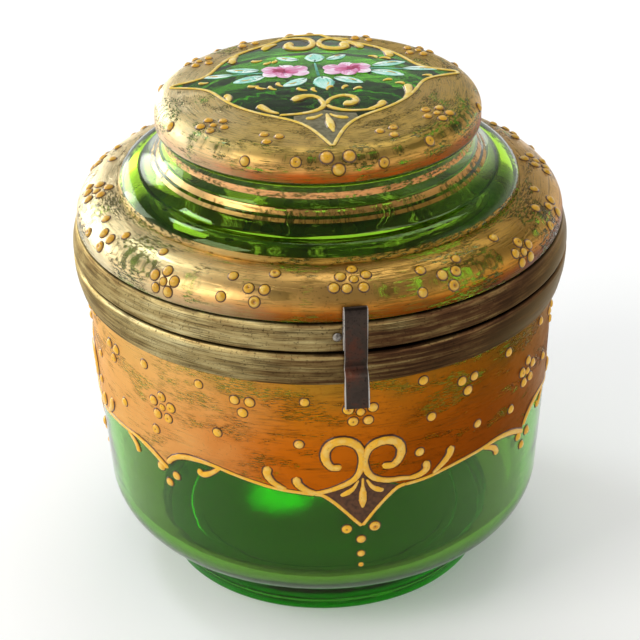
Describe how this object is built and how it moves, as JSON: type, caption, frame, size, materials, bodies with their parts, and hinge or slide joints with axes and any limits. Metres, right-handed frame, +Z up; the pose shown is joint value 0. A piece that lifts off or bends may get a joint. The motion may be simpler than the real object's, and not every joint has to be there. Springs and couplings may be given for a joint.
{
  "type": "glass casket box",
  "caption": "Round hinged casket of green glass with gilded, enamelled bowl and stepped lid, brass collars, rear hinge and sprung front clasp.",
  "frame": {"origin": "centre of the flat underside of the bowl's foot", "axes": "+Z up out of the box, -Y to the front where the clasp is, +Y to the hinge, +X to the right seen from the front"},
  "size_m": [0.1282, 0.1364, 0.1318],
  "materials": {
    "green_glass": "clear emerald green blown glass, polished",
    "gilding": "thin fired gold with rubbed and scratched patches",
    "collar_brass": "aged brass, dark tarnish in streaks",
    "pin_brass": "aged brass, ends peened",
    "clasp_brass": "dark bronze-brown patina, worn bright at the edges",
    "solder": "dull grey soft solder",
    "plaster": "matt aged plaster",
    "yellow_enamel": "raised yellow enamel, soft gloss",
    "pink_enamel": "painted pink enamel with darker strokes",
    "turquoise_enamel": "painted pale turquoise enamel with white strokes",
    "brown_enamel": "flat brown enamel ground inside the bowl's pendants",
    "grey_enamel": "flat grey enamel ground inside the disc's pendants",
    "outline_enamel": "thin dark outline painted under the raised enamel"
  },
  "bodies": {
    "box": {"glass_bowl": "green_glass", "lower_bedding": "plaster", "lower_collar": "collar_brass", "hinge_lower_leaf": "collar_brass", "hinge_pin": "pin_brass", "bowl_border": "yellow_enamel", "bowl_scrolls": "yellow_enamel", "bowl_hooks": "yellow_enamel", "bowl_pendant_drops": "yellow_enamel", "bowl_pendant_dots": "yellow_enamel", "bowl_flower_dots": "yellow_enamel", "bowl_triple_dots": "yellow_enamel", "bowl_single_dots": "yellow_enamel"},
    "lid": {"glass_lid": "green_glass", "upper_bedding": "plaster", "upper_collar": "collar_brass", "hinge_upper_leaf": "collar_brass", "clasp_back_leaf": "clasp_brass", "clasp_solder": "solder", "shoulder_flower_dots": "yellow_enamel", "shoulder_triple_dots": "yellow_enamel", "shoulder_single_dots": "yellow_enamel", "disc_border": "yellow_enamel", "disc_scrolls": "yellow_enamel", "disc_pendant_drops": "yellow_enamel", "disc_edge_dots": "yellow_enamel", "disc_blooms": "pink_enamel", "disc_leaves": "turquoise_enamel"},
    "clasp": {"clasp_strap": "clasp_brass"}
  },
  "joints": [
    {"name": "lid_hinge", "type": "hinge", "parent": "box", "child": "lid", "pos_m": [0, 0.0667, 0.0902], "axis": [-1, 0, 0], "range_deg": [0, 100]},
    {"name": "clasp_flex", "type": "hinge", "parent": "lid", "child": "clasp", "pos_m": [0, -0.06497, 0.102], "axis": [-1, 0, 0], "range_deg": [0, 4], "stiffness_Nm_per_rad": 0.1}
  ]
}
